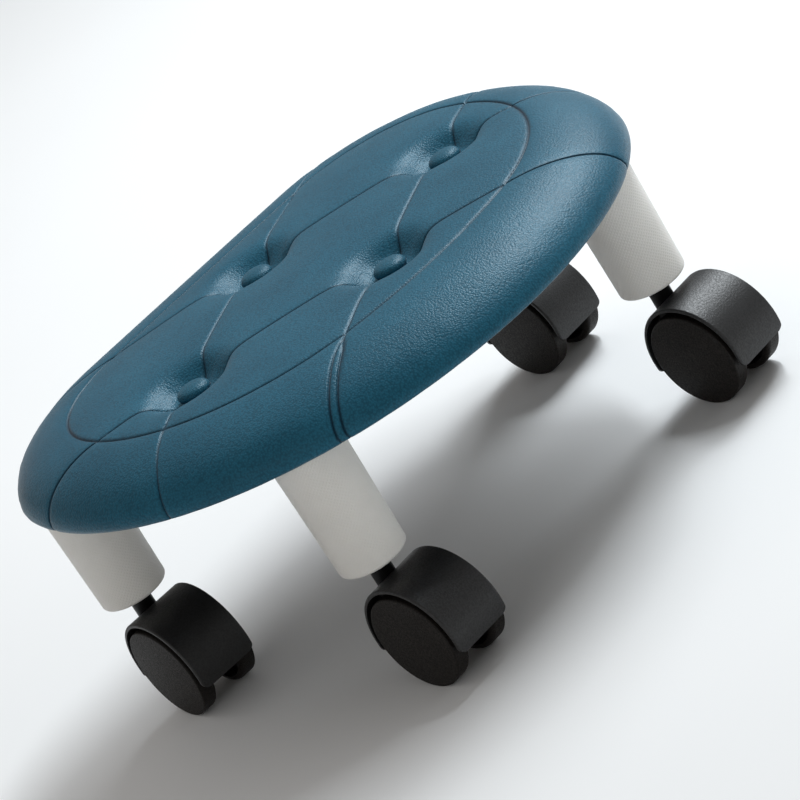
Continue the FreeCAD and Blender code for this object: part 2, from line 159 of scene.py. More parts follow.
def new_object(name, points, faces):
    """A smooth-shaded mesh object from points in millimetres."""
    mesh = bpy.data.meshes.new(name)
    mesh.from_pydata([tuple(p) for p in np.asarray(points) * MM], [], faces)
    mesh.validate()
    mesh.polygons.foreach_set("use_smooth", [True] * len(mesh.polygons))
    mesh.update()
    piece = bpy.data.objects.new(name, mesh)
    bpy.context.scene.collection.objects.link(piece)
    return piece


def smooth_step(value, low, high):
    t = np.clip((value - low) / (high - low), 0.0, 1.0)
    return t * t * (3 - 2 * t)


# ---------------------------------------------------------------- the D outline
def mix(first, second, share):
    return {key: first[key] + (second[key] - first[key]) * share for key in first}


def arcs(shape):
    """The five arcs of a D, clockwise from the back: centre x, centre y, radius, turn from, turn to."""
    turn_1 = math.radians(shape["corner_turn"])
    turn_2 = turn_1 + math.radians(shape["side_turn"])
    corner_r, side_r = shape["corner_r"], shape["side_r"]
    corner_x, corner_y = shape["flat"], shape["back"] - corner_r
    side_x = corner_x + (corner_r - side_r) * math.sin(turn_1)
    side_y = corner_y + (corner_r - side_r) * math.cos(turn_1)
    front_r = side_r + side_x / math.sin(turn_2)
    front_y = side_y + (side_r - front_r) * math.cos(turn_2)
    full = 2 * math.pi
    return [(corner_x, corner_y, corner_r, 0.0, turn_1),
            (side_x, side_y, side_r, turn_1, turn_2),
            (0.0, front_y, front_r, turn_2, full - turn_2),
            (-side_x, side_y, side_r, full - turn_2, full - turn_1),
            (-corner_x, corner_y, corner_r, full - turn_1, full)]


def d_curve(shape, inset=0.0, steps=3000):
    """Points all round a D moved inwards by inset, with their distance along it."""
    flat, back = shape["flat"], shape["back"] - inset
    along = np.linspace(0, 1, steps)
    parts = [np.stack([-flat + 2 * flat * along, np.full(steps, back)], 1)]
    for x, y, radius, low, high in arcs(shape):
        turn = low + (high - low) * along
        inner = radius - inset
        parts.append(np.stack([x + inner * np.sin(turn), y + inner * np.cos(turn)], 1))
    points = np.concatenate([parts[0]] + [part[1:] for part in parts[1:]])
    length = np.concatenate([[0.0], np.cumsum(np.hypot(*np.diff(points, axis=0).T))])
    return points, length


def inside_distance(shape, points):
    """Distance inwards from a D, negative outside it."""
    best = np.full(len(points), np.inf)
    straight = np.abs(points[:, 0]) <= shape["flat"]
    best[straight] = (shape["back"] - points[:, 1])[straight]
    for x, y, radius, low, high in arcs(shape):
        dx, dy = points[:, 0] - x, points[:, 1] - y
        turn = np.arctan2(dx, dy) % (2 * math.pi)
        margin = radius - np.hypot(dx, dy)
        here = (turn >= low) & (turn <= high) & (np.abs(margin) < np.abs(best))
        best[here] = margin[here]
    return best


# ---------------------------------------------------------------- tuft lines and dimples
BUTTONS = {name: middle("tuft_button_" + name) for name in ("left", "front", "back", "right")}
BUTTON_PLAN = np.array([(place.x, place.y) for place in BUTTONS.values()])
TUFT_LINES = []
for start, end in (("left", "front"), ("back", "right"), ("left", "back"), ("front", "right")):
    origin = np.array(BUTTONS[start].xy)
    direction = np.array(BUTTONS[end].xy) - origin
    direction /= np.hypot(*direction)
    TUFT_LINES.append((origin, direction, np.array([-direction[1], direction[0]])))


def line_bend(number, along):
    """Sideways bend of a tuft line, at distances along it from its first button."""
    return LINE_BEND * smooth_step(-along, BEND_FROM, BEND_TO) * (number == TWIN_LINE)


def line_distances(plan):
    """Signed plan distance of each point from each tuft line."""
    found = []
    for number, (origin, direction, across) in enumerate(TUFT_LINES):
        found.append((plan - origin) @ across - line_bend(number, (plan - origin) @ direction))
    return np.stack(found, 1)


def button_distance(plan):
    return np.stack([np.hypot(*(plan - place).T) for place in BUTTON_PLAN], 1)


def crown_height(plan):
    """Height of the top inside the seam, without tufting."""
    share = np.clip(inside_distance(TOP_SEAM, plan) / CROWN_REACH, 0.0, 1.0)
    return SEAM_HEIGHT + CROWN * (1 - (1 - share) ** 2)


def dimple_drop(plan):
    beyond = np.maximum(button_distance(plan) - FLOOR_R, 0.0)
    return DIMPLE_DEPTH * np.exp(-(beyond / DIMPLE_WIDTH) ** 2).max(axis=1)


def pleats(plan):
    """Soft radial wrinkles on the walls of the dimples."""
    rise = np.zeros(len(plan))
    for index, place in enumerate(BUTTON_PLAN):
        dx, dy = (plan - place).T
        radius, turn = np.hypot(dx, dy), np.arctan2(dy, dx)
        wave = np.cos(PLEATS * turn + PLEAT_PHASES[0] * index)
        wave += PLEATS_BETWEEN_SHARE * np.cos(PLEATS_BETWEEN * turn + PLEAT_PHASES[1] * index)
        rise += PLEAT_HEIGHT * wave * np.exp(-((radius - PLEAT_RING_R) / PLEAT_RING_WIDTH) ** 2)
    return rise


# ---------------------------------------------------------------- the cushion's mesh
def side_profile():
    """Rows down the side from the seam: share of the way in, and height, at chosen distances."""
    turn = np.radians(np.linspace(90, 0, PROFILE_STEPS))
    share = 1 - np.cos(turn) ** SIDE_POWER
    height = WIDEST + (SEAM_HEIGHT - WIDEST) * np.sin(turn) ** SIDE_POWER
    travel = (OUTLINE["back"] - TOP_SEAM["back"]) * share
    length = np.concatenate([[0.0], np.cumsum(np.hypot(np.diff(travel), np.diff(height)))])
    total = length[-1]
    rows = [0.0] + list(GROOVE_OFFSETS)
    count = round((total - rows[-1]) / SIDE_SPACING)
    rows += list(np.linspace(rows[-1], total, count + 1)[1:])
    return [(float(np.interp(row, length, share)), float(np.interp(row, length, height))) for row in rows]


def zone_shares(width):
    """Shares across the zone between two tuft lines, closer together near both."""
    near = [0.0] + list(COLUMN_OFFSETS)
    count = max(2, round((width - 2 * near[-1]) / SIDE_SPACING))
    middle_part = list(np.linspace(near[-1], width - near[-1], count + 1))[1:-1]
    marks = near + middle_part + [width - mark for mark in near[:0:-1]]
    return np.array(marks) / width


def crossings(points, length):
    """Distances along a D where the tuft lines cross it, in order from a quarter of the way round."""
    found = []
    signed = line_distances(points)
    for number in range(len(TUFT_LINES)):
        side = signed[:, number]
        for index in np.nonzero(side[:-1] * side[1:] < 0)[0]:
            part = side[index] / (side[index] - side[index + 1])
            found.append(length[index] + part * (length[index + 1] - length[index]))
    total = length[-1]
    start = total / 4
    return np.array(sorted(start + (mark - start) % total for mark in found))


def row_points(shape, inset, shares):
    """One row of the side, with a column of points on each side of every tuft line's crossing."""
    points, length = d_curve(shape, inset)
    total = length[-1]
    marks = crossings(points, length)
    ends = np.append(marks[1:], marks[0] + total)
    along = np.concatenate([low + (high - low) * share for low, high, share in zip(marks, ends, shares)])
    along = along % total
    return np.stack([np.interp(along, length, points[:, 0]), np.interp(along, length, points[:, 1])], 1)


def cushion_rows():
    """All rows from the seam down the side, under the board and into the board's pocket."""
    points, length = d_curve(OUTLINE)
    marks = crossings(points, length)
    widths = np.append(marks[1:], marks[0] + length[-1]) - marks
    shares = [zone_shares(width) for width in widths]
    rows = []
    for share, height in side_profile():
        rows.append((row_points(mix(OUTLINE, TOP_SEAM, share), 0.0, shares), height))
    for degrees in TUCK_TURNS:
        turn = math.radians(degrees)
        tucked = row_points(OUTLINE, TUCK * (1 - math.cos(turn)), shares)
        rows.append((tucked, WIDEST - TUCK * math.sin(turn)))
    inner_side = UNDERSIDE + COVER_T
    under = [(inset, UNDERSIDE) for inset in WRAP_ROWS]
    under += [(WRAP + WRAP_EDGE_BULGE, UNDERSIDE + COVER_T / 2), (WRAP, inner_side)]
    under += [(INNER_ROW, inner_side), (BOARD_EDGE, inner_side), (BOARD_EDGE, POCKET_TOP)]
    for inset, height in under:
        rows.append((row_points(OUTLINE, inset, shares), height))
    return rows


class PointStore:
    """Plan points kept apart by a least distance."""

    def __init__(self, first):
        self.cells = {}
        self.points = []
        self.size = LEAST_APART
        for point in first:
            self.add(point, 0.0)

    def add(self, point, apart):
        key = (math.floor(point[0] / self.size), math.floor(point[1] / self.size))
        reach = math.ceil(apart / self.size)
        for i in range(key[0] - reach, key[0] + reach + 1):
            for j in range(key[1] - reach, key[1] + reach + 1):
                for other in self.cells.get((i, j), ()):
                    if math.hypot(point[0] - other[0], point[1] - other[1]) < apart:
                        return
        self.cells.setdefault(key, []).append(point)
        self.points.append(point)


def top_points(border):
    """Plan points of the top, dense along the tuft lines, the seam and in the dimples."""
    store = PointStore([tuple(p) for p in border])
    edge = GROOVE_OFFSETS[-1]

    line_rows = []
    along = np.arange(-LINE_REACH, LINE_REACH, ALONG_GROOVE)[:, None]
    for number, (origin, direction, across) in enumerate(TUFT_LINES):
        bent = origin + along * direction + line_bend(number, along) * across
        for offset in (0.0,) + GROOVE_OFFSETS + tuple(-o for o in GROOVE_OFFSETS):
            line_rows.append(bent + offset * across)
    lines = np.concatenate(line_rows)
    lines = lines[inside_distance(TOP_SEAM, lines) > SEAM_GAP]
    for point in lines:
        store.add(tuple(point), LEAST_APART)

    for offset in GROOVE_OFFSETS:
        points, length = d_curve(TOP_SEAM, offset)
        along = np.arange(0, length[-1] - ALONG_GROOVE / 2, ALONG_GROOVE)
        ring = np.stack([np.interp(along, length, points[:, 0]), np.interp(along, length, points[:, 1])], 1)
        for point in ring:
            store.add(tuple(point), LEAST_FROM_SEAM)

    grids = []
    for spacing in (DIMPLE_SPACING, TOP_SPACING):
        columns = np.arange(-GRID_HALF[0], GRID_HALF[0], spacing)
        rows = np.arange(-GRID_HALF[1], GRID_HALF[1], spacing * GRID_ROW)
        x, y = np.meshgrid(columns, rows)
        x = x + spacing / 2 * (np.arange(len(rows)) % 2)[:, None]
        grids.append(np.stack([x.ravel(), y.ravel()], 1))
    for grid, spacing, near in zip(grids, (DIMPLE_SPACING, TOP_SPACING), (True, False)):
        in_dimple = button_distance(grid).min(axis=1) < FLOOR_R + DIMPLE_REACH * DIMPLE_WIDTH
        keep = in_dimple if near else ~in_dimple
        keep &= inside_distance(TOP_SEAM, grid) > edge + spacing / 2
        keep &= np.abs(line_distances(grid)).min(axis=1) > edge + spacing / 2
        for point in grid[keep]:
            store.add(tuple(point), spacing * FILL_APART)
    return store.points


def cushion_mesh():
    """Points and faces of the cushion before grooves, and which points lie on the top."""
    rows = cushion_rows()
    columns = len(rows[0][0])
    points = []
    for plan, height in rows:
        points += [(x, y, height) for x, y in plan]
    faces = []
    for row in range(len(rows) - 1):
        upper, lower = row * columns, (row + 1) * columns
        for column in range(columns):
            after = (column + 1) % columns
            faces.append((upper + column, upper + after, lower + after, lower + column))
    last = (len(rows) - 1) * columns
    faces.append(tuple(last + column for column in range(columns)))

    plan = top_points(rows[0][0])
    edges = [(i, (i + 1) % columns) for i in range(columns)]
    flat = [Vector(p) for p in plan]
    made, _, triangles, origins, _, _ = delaunay_2d_cdt(flat, edges, [], 1, 1e-5, True)
    index_of = {}
    for number, point in enumerate(made):
        source = origins[number][0] if origins[number] else None
        if source is not None and source < columns:
            index_of[number] = source
        else:
            index_of[number] = len(points)
            points.append((point.x, point.y, 0.0))
    points = np.array(points)
    top = np.zeros(len(points), bool)
    top[len(rows) * columns:] = True
    points[top, 2] = crown_height(points[top, :2])
    for triangle in triangles:
        a, b, c = (index_of[number] for number in triangle)
        turn = np.cross(points[b, :2] - points[a, :2], points[c, :2] - points[a, :2])
        faces.append((a, b, c) if turn > 0 else (a, c, b))
    return points, faces, len(rows), columns


def vertex_normals(points, faces):
    """Area-weighted normals, worked out from the faces' corners."""
    mesh = bpy.data.meshes.new("normals")
    mesh.from_pydata([tuple(p) for p in points], [], faces)
    mesh.update()
    normals = np.zeros(len(points) * 3)
    mesh.vertices.foreach_get("normal", normals)
    bpy.data.meshes.remove(mesh)
    return normals.reshape(-1, 3)


def groove_depth(points, normals):
    """How far the tuft lines and the seam draw the surface in, and how much painted shade darkens their
    cores.
    """
    plan = points[:, :2]
    near_button = button_distance(plan).min(axis=1)
    soft = FOLD_DEPTH + FOLD_AT_BUTTON * np.exp(-((near_button - FOLD_PEAK_R) / PEAK_WIDTH) ** 2)
    across = np.stack([line[2] for line in TUFT_LINES])
    margin = inside_distance(TOP_SEAM, plan)
    signed = line_distances(plan)
    spread = TWIN_SPREAD * smooth_step(-margin, 0.0, TWIN_OPENS) * (plan[:, 1] < 0)
    twin = signed[:, TWIN_LINE] + spread
    signed[:, TWIN_LINE] -= spread
    signed = np.column_stack([signed, twin])
    tilt = normals[:, :2] @ np.vstack([across, across[TWIN_LINE]]).T
    stretch = np.sqrt(np.maximum(1 - tilt ** 2, LEAST_STRETCH))
    nearest = (np.abs(signed) / stretch).min(axis=1)
    # distance from the centre of the painted shade, which is moved beside each line
    painted_shade_away = (np.abs(signed + PAINTED_SHADE_SHIFT * PAINTED_SHADE_SIDES) / stretch).min(axis=1)
    in_dimple = 1 + GROOVE_AT_BUTTON * np.exp(-((near_button - GROOVE_PEAK_R) / PEAK_WIDTH) ** 2)
    depth = soft * np.exp(-(nearest / FOLD_WIDTH) ** FOLD_POWER)
    depth += GROOVE_DEPTH * in_dimple * np.exp(-(nearest / GROOVE_WIDTH) ** 2)

    slope = np.maximum(np.abs(normals[:, 2]), LEAST_SLOPE)
    from_seam = np.abs(margin) / np.where(margin < 0, slope, 1.0)
    seam = SEAM_FOLD * np.exp(-(from_seam / FOLD_WIDTH) ** FOLD_POWER)
    seam += SEAM_GROOVE_DEPTH * np.exp(-(from_seam / SEAM_GROOVE_WIDTH) ** 2)
    # painted shade: the cores of the grooves and of the seam are darkened in colour by this mask
    painted_shade_mask = np.exp(-(np.minimum(painted_shade_away, from_seam * SEAM_SHADE) / PAINTED_SHADE_WIDTH) ** 2)
    return np.maximum(depth, seam) + CROSSING_SHARE * np.minimum(depth, seam), painted_shade_mask


def cover_held(points):
    """How firmly each point is held while the cover swells: 1 at the buttons and at the board."""
    plan = points[:, :2]
    button = 1 - smooth_step(button_distance(plan).min(axis=1) - FLOOR_R, *HELD_ROUND_BUTTON)
    line_away = np.abs(line_distances(plan)).min(axis=1)
    line_away = np.minimum(line_away, np.abs(inside_distance(TOP_SEAM, plan)))
    line = HELD_BY_LINE * (1 - smooth_step(line_away, *HELD_ROUND_LINE))
    board = 1 - smooth_step(points[:, 2] - WIDEST, *HELD_OVER_BOARD)
    return np.maximum(np.maximum(button, line), board)


def cloth_coordinates(piece):
    shape = piece.evaluated_get(bpy.context.evaluated_depsgraph_get()).to_mesh()
    flat = np.zeros(len(shape.vertices) * 3)
    shape.vertices.foreach_get("co", flat)
    return flat.reshape(-1, 3) / MM


def swell(points, faces):
    """Moves the points as the cover swells: cloth under pressure on a coarse copy, capped and levelled."""
    draft = new_object("cover_draft", points, faces)
    remesh = draft.modifiers.new("voxels", "REMESH")
    remesh.mode = "VOXEL"
    remesh.voxel_size = VOXEL * MM
    graph = bpy.context.evaluated_depsgraph_get()
    coarse_mesh = bpy.data.meshes.new_from_object(draft.evaluated_get(graph))
    bpy.data.objects.remove(draft)
    coarse = bpy.data.objects.new("cover_cloth", coarse_mesh)
    bpy.context.scene.collection.objects.link(coarse)
    start = np.array([tuple(vertex.co) for vertex in coarse_mesh.vertices]) / MM
    normal = np.array([tuple(vertex.normal) for vertex in coarse_mesh.vertices])
    held = cover_held(start)
    group = coarse.vertex_groups.new(name="held")
    for index, firmness in enumerate(held):
        group.add([index], float(firmness), "REPLACE")

    cloth = coarse.modifiers.new("cloth", "CLOTH").settings
    for setting, value in CLOTH.items():
        setattr(cloth, setting, value)
    cloth.effector_weights.gravity = 0.0
    for number in range(1, SWELL_FRAMES + 1):
        bpy.context.scene.frame_set(number)
    moved = cloth_coordinates(coarse) - start
    bpy.context.scene.frame_set(1)
    bpy.data.objects.remove(coarse)

    free = held < HELD_LEAST
    level = float(np.mean((moved * normal).sum(axis=1)[free]))
    moved -= normal * (level * (1 - held))[:, None]
    reach = np.linalg.norm(moved, axis=1)
    moved *= (np.tanh(reach / SWELL_MOST) * SWELL_MOST / np.maximum(reach, 1e-6))[:, None]
    tree = kdtree.KDTree(len(start))
    for index, place in enumerate(start):
        tree.insert(place, index)
    tree.balance()
    change = np.zeros_like(points)
    for number, place in enumerate(points):
        near = tree.find_n(place, SWELL_NEIGHBOURS)
        weights = np.array([math.exp(-(away / VOXEL) ** 2) for _, _, away in near])
        steps = moved[[index for _, index, _ in near]]
        change[number] = (steps * weights[:, None]).sum(axis=0) / weights.sum()
    return points + change


def wrap_pleats(points):
    """Small folds where the cover turns under the board, drawn up into it."""
    plan = points[:, :2]
    margin = inside_distance(OUTLINE, plan)
    turn = np.arctan2(plan[:, 1], plan[:, 0])
    wave = np.cos(WRAP_PLEATS * turn + WRAP_CROWDING * np.sin(WRAP_WAVES * turn))
    fold = np.maximum(0.0, wave) ** WRAP_PLEAT_POWER
    window = smooth_step(margin, *WRAP_PLEATS_BEGIN) * (1 - smooth_step(margin, *WRAP_PLEATS_END))
    return WRAP_PLEAT_DEPTH * fold * window * (points[:, 2] < UNDERSIDE + WRAP_PLEATS_OVER)


def make_cushion():
    points, faces, row_count, columns = cushion_mesh()
    outer_rows = row_count - INNER_ROWS
    outside = np.ones(len(points), bool)
    outside[outer_rows * columns:row_count * columns] = False
    points[outside, 2] -= dimple_drop(points[outside, :2]) * (points[outside, 2] > WIDEST)
    points[outside] = swell(points, faces)[outside]
    points[outside, 2] += wrap_pleats(points[outside])
    normals = vertex_normals(points, faces)
    drop, painted_shade_mask = groove_depth(points, normals)
    lift = pleats(points[:, :2]) * (points[:, 2] > WIDEST)
    fade = smooth_step(points[:, 2], *RELIEF_FADES)
    points[outside] += (normals * ((lift - drop) * fade)[:, None])[outside]
    cushion = new_object("seat_cushion", points, faces)
    # painted shade of the grooves and the seam, kept on the points for the leather's colour
    painted_crease_shade = cushion.data.attributes.new("painted_crease_shade", "FLOAT", "POINT")
    painted_crease_shade.data.foreach_set("value", painted_shade_mask * outside)
    cushion.data.materials.append(LEATHER)
    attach(cushion, "seat")
    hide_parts("seat_cover", "foam_pad", "edge_foam")
    return cushion


# ---------------------------------------------------------------- buttons
# radius and height of each ring, as shares of the button's radius and of its rise above the rim
BUTTON_PROFILE = ((0.0, 1.0), (0.2, 0.985), (0.4, 0.94), (0.58, 0.865), (0.73, 0.76), (0.85, 0.62),
                  (0.935, 0.45), (0.985, 0.27), (1.0, 0.1), (0.985, -0.08), (0.94, -0.22), (0.86, -0.32),
                  (0.7, -0.38), (0.35, -0.4))
BUTTON_SIDES = 64
BUTTON_RIM = 0.31          # height of the rim, as a share of the whole button's
BUTTON_PLEATS = 16
BUTTON_PLEAT = 0.012       # depth of a pleat at the edge, as a share of the radius
BUTTON_PLEAT_UNDER = 0.03
BUTTON_PLEATS_BEGIN = 0.8  # share of the radius


def make_button(name):
    """A leather-covered button: a dome with fine pleats where the cover is drawn in under it."""
    low, high = (Vector(corner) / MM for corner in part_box("tuft_button_" + name))
    centre = (low + high) / 2
    radius = (high.x - low.x) / 2
    rim = low.z + BUTTON_RIM * (high.z - low.z)
    rise = high.z - rim
    points, faces = [(centre.x, centre.y, high.z)], []
    for ring, (out, up) in enumerate(BUTTON_PROFILE[1:]):
        pleat = BUTTON_PLEAT * smooth_step(out, BUTTON_PLEATS_BEGIN, 1.0)
        pleat += BUTTON_PLEAT_UNDER if up < 0 else 0.0
        for side in range(BUTTON_SIDES):
            turn = 2 * math.pi * side / BUTTON_SIDES
            ripple = 1 - pleat * (1 + math.cos(BUTTON_PLEATS * turn))
            points.append((centre.x + radius * out * ripple * math.cos(turn),
                           centre.y + radius * out * ripple * math.sin(turn), rim + rise * up))
        for side in range(BUTTON_SIDES):
            after = (side + 1) % BUTTON_SIDES
            here = 1 + ring * BUTTON_SIDES
            if ring == 0:
                faces.append((0, here + side, here + after))
            else:
                above = here - BUTTON_SIDES
                faces.append((above + side, here + side, here + after, above + after))
    last = 1 + (len(BUTTON_PROFILE) - 2) * BUTTON_SIDES
    faces.append(tuple(last + side for side in reversed(range(BUTTON_SIDES))))
    button = new_object("button_" + name, points, faces)
    button.data.materials.append(BUTTON_LEATHER)
    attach(button, "seat")
    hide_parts("tuft_button_" + name)


# ---------------------------------------------------------------- materials
# Scales of noise and cells grow as the marks get finer. Relief is in metres.
SPAN = (0.3, 0.7)          # holds most values of a noise, so tones are spread between these
GRAIN_SPAN = (0.36, 0.64)  # narrower, which makes the black plastic's grain crisper
LEATHER_TONE_SCALE = 26.0
LEATHER_WEAR_SCALE = 700.0
LEATHER_WEAR_RELIEF = 0.00008
LEATHER_ROUGHNESS = (0.37, 0.47)
PEBBLE_SCALE = 1020.0
PEBBLE_SMOOTHNESS = 0.30
PEBBLE_RELIEF = 0.00018
PEBBLE_STRENGTH = 0.8
PIT_PAINTED_SHADE = (1.0, 0.50)    # painted shade: full colour on the pebbles' tops, darker in the pits between them
PIT_SPAN = (0.25, 0.75)
PIT_SHARE = 0.65
PAINTED_GROOVE_SHADE = (0.11, 0.20, 0.25)    # painted shade in a groove's core, as a share of the leather's colour
LEG_TONES = ((0.74, 0.72, 0.68), (0.80, 0.78, 0.74))
HATCH_AROUND = 56.0        # the hatch's lines round a leg, as radians of wave for each radian of turn
HATCH_UP = 195.0           # and up its height, in radians of wave
HATCH_RELIEF = 0.00008
PLASTIC_GRAIN_TONES = (0.4, 1.6)    # darkest and lightest grain of black plastic, as shares of its colour
MATT_GRAIN, GLOSSY_GRAIN = 0.08, 0.06       # how far the grain's roughness goes above and below the mean
PLY_STRETCH = (6.0, 110.0, 520.0)   # noise scale along the grain, across it and through the plies


class Nodes:
    """A material's node tree, built by short calls."""

    def __init__(self, name):
        self.material = bpy.data.materials.new(name)
        self.material.use_nodes = True
        self.tree = self.material.node_tree
        self.shader = self.tree.nodes["Principled BSDF"]
        coordinates = self.tree.nodes.new("ShaderNodeTexCoord")
        self.place = coordinates.outputs["Object"]
        self.generated = coordinates.outputs["Generated"]
        self.normal_in = None

    def link(self, source, target):
        self.tree.links.new(source, target)

    def set(self, **values):
        for name, value in values.items():
            self.shader.inputs[name.replace("_", " ")].default_value = value

    def noise(self, scale, detail=3.0, roughness=0.5, place=None, distortion=0.0):
        node = self.tree.nodes.new("ShaderNodeTexNoise")
        node.inputs["Scale"].default_value = scale
        node.inputs["Detail"].default_value = detail
        node.inputs["Roughness"].default_value = roughness
        node.inputs["Distortion"].default_value = distortion
        self.link(place or self.place, node.inputs["Vector"])
        return node.outputs["Fac"]

    def cells(self, scale, feature="F1", smoothness=0.0, place=None):
        node = self.tree.nodes.new("ShaderNodeTexVoronoi")
        node.feature = feature
        node.inputs["Scale"].default_value = scale
        if feature == "SMOOTH_F1":
            node.inputs["Smoothness"].default_value = smoothness
        self.link(place or self.place, node.inputs["Vector"])
        return node.outputs["Distance"]

    def ramp(self, source, stops, low=0.0, high=1.0):
        """Maps a value onto colours, or onto greys when the stops are numbers."""
        node = self.tree.nodes.new("ShaderNodeValToRGB")
        places = np.linspace(low, high, len(stops))
        while len(node.color_ramp.elements) < len(stops):
            node.color_ramp.elements.new(0.5)
        for element, where, stop in zip(node.color_ramp.elements, places, stops):
            element.position = where
            element.color = (stop, stop, stop, 1.0) if isinstance(stop, (int, float)) else (*stop, 1.0)
        self.link(source, node.inputs["Fac"])
        return node.outputs["Color"]

    def math(self, kind, first, second=0.0):
        node = self.tree.nodes.new("ShaderNodeMath")
        node.operation = kind
        for socket, value in zip(node.inputs, (first, second)):
            if isinstance(value, (int, float)):
                socket.default_value = value
            else:
                self.link(value, socket)
        return node.outputs["Value"]

    def blend(self, kind, factor, first, second):
        node = self.tree.nodes.new("ShaderNodeMixRGB")
        node.blend_type = kind
        node.inputs["Fac"].default_value = factor
        for socket, value in zip(node.inputs[1:], (first, second)):
            self.link(value, socket)
        return node.outputs["Color"]

    def bump(self, height, distance, strength=1.0):
        """Adds relief of a height in metres, on top of any relief added before."""
        node = self.tree.nodes.new("ShaderNodeBump")
        if isinstance(strength, float):
            node.inputs["Strength"].default_value = strength
        else:
            self.link(strength, node.inputs["Strength"])
        node.inputs["Distance"].default_value = distance
        self.link(height, node.inputs["Height"])
        if self.normal_in is not None:
            self.link(self.normal_in, node.inputs["Normal"])
        self.normal_in = node.outputs["Normal"]
        self.link(self.normal_in, self.shader.inputs["Normal"])


def leather(name, tones, grain=1.0, shades_grooves=False):
    """Grained synthetic leather: pebbled grain with painted shade in its pits, slow tone changes, a satin
    skin, and, when asked, painted shade in the grooves.
    """
    nodes = Nodes(name)
    slow = nodes.noise(LEATHER_TONE_SCALE, 4.0, 0.55)
    colour = nodes.ramp(slow, tones, *SPAN)
    wear = nodes.noise(LEATHER_WEAR_SCALE, 3.0, 0.6)
    pebbles = nodes.cells(PEBBLE_SCALE / grain, "SMOOTH_F1", PEBBLE_SMOOTHNESS)
    # painted shade: the pits between the pebbles, low in the bump, are darkened in colour
    pit_shade = nodes.ramp(pebbles, PIT_PAINTED_SHADE, *PIT_SPAN)
    colour = nodes.blend("MULTIPLY", PIT_SHARE, colour, pit_shade)
    strength = PEBBLE_STRENGTH
    # painted shade: the cores of the grooves and the seam are darkened in colour, and the grain's bump is
    # damped there
    if shades_grooves:
        painted_crease_shade = nodes.tree.nodes.new("ShaderNodeAttribute")
        painted_crease_shade.attribute_name = "painted_crease_shade"
        shade = nodes.ramp(painted_crease_shade.outputs["Fac"], ((1.0, 1.0, 1.0), PAINTED_GROOVE_SHADE))
        colour = nodes.blend("MULTIPLY", 1.0, colour, shade)
        strength = nodes.ramp(painted_crease_shade.outputs["Fac"], (PEBBLE_STRENGTH, 0.0))
    nodes.link(colour, nodes.shader.inputs["Base Color"])
    nodes.link(nodes.ramp(wear, LEATHER_ROUGHNESS, *SPAN), nodes.shader.inputs["Roughness"])
    nodes.set(Specular_IOR_Level=0.26, Sheen_Weight=0.09, Sheen_Roughness=0.40)
    nodes.shader.inputs["Specular Tint"].default_value = (0.60, 0.85, 1.0, 1.0)
    nodes.shader.inputs["Sheen Tint"].default_value = (1.0, 0.92, 0.95, 1.0)
    nodes.bump(wear, LEATHER_WEAR_RELIEF, 0.5)
    nodes.bump(nodes.math("MULTIPLY", pebbles, -1.0), PEBBLE_RELIEF, strength)
    return nodes.material


def leg_plastic():
    """Off-white plastic moulded with a fine diagonal cross-hatch."""
    nodes = Nodes("leg_plastic")
    slow = nodes.noise(38.0, 3.0)
    nodes.link(nodes.ramp(slow, LEG_TONES, *SPAN), nodes.shader.inputs["Base Color"])
    split = nodes.tree.nodes.new("ShaderNodeSeparateXYZ")
    nodes.link(nodes.generated, split.inputs["Vector"])
    x = nodes.math("SUBTRACT", split.outputs["X"], 0.5)
    y = nodes.math("SUBTRACT", split.outputs["Y"], 0.5)
    turn = nodes.math("ARCTAN2", y, x)
    around = nodes.math("MULTIPLY", turn, HATCH_AROUND)
    height = nodes.math("MULTIPLY", split.outputs["Z"], HATCH_UP)
    first = nodes.math("SINE", nodes.math("ADD", around, height))
    second = nodes.math("SINE", nodes.math("SUBTRACT", around, height))
    hatch = nodes.math("MAXIMUM", first, second)
    nodes.bump(hatch, HATCH_RELIEF, 0.8)
    nodes.bump(nodes.noise(1600.0, 2.0), 0.00004, 0.3)
    nodes.set(Roughness=0.42, Specular_IOR_Level=0.5, Subsurface_Weight=0.05)
    nodes.shader.inputs["Subsurface Radius"].default_value = (0.004, 0.003, 0.002)
    return nodes.material


def black_plastic(name, tones, roughness, grain, relief, specular):
    """Black nylon with a spark-eroded grain and faint dust."""
    nodes = Nodes(name)
    slow = nodes.ramp(nodes.noise(60.0, 4.0, 0.6), tones, *SPAN)
    sparkle = nodes.noise(grain, 2.0, 0.6)
    colour = nodes.blend("MULTIPLY", 1.0, slow, nodes.ramp(sparkle, PLASTIC_GRAIN_TONES, *GRAIN_SPAN))
    nodes.link(colour, nodes.shader.inputs["Base Color"])
    gloss = nodes.ramp(sparkle, (roughness + MATT_GRAIN, roughness - GLOSSY_GRAIN), *GRAIN_SPAN)
    nodes.link(gloss, nodes.shader.inputs["Roughness"])
    nodes.bump(sparkle, relief, 0.9)
    nodes.set(Specular_IOR_Level=specular)
    return nodes.material


def steel(name, tones, roughness):
    """Plated or blackened steel with faint handling marks."""
    nodes = Nodes(name)
    nodes.set(Metallic=1.0)
    colour = nodes.ramp(nodes.noise(140.0, 4.0, 0.6), tones, *SPAN)
    nodes.link(colour, nodes.shader.inputs["Base Color"])
    wear = nodes.noise(420.0, 4.0, 0.7)
    gloss = nodes.ramp(wear, (roughness - 0.08, roughness + 0.12), *SPAN)
    nodes.link(gloss, nodes.shader.inputs["Roughness"])
    nodes.bump(wear, 0.00004, 0.4)
    return nodes.material


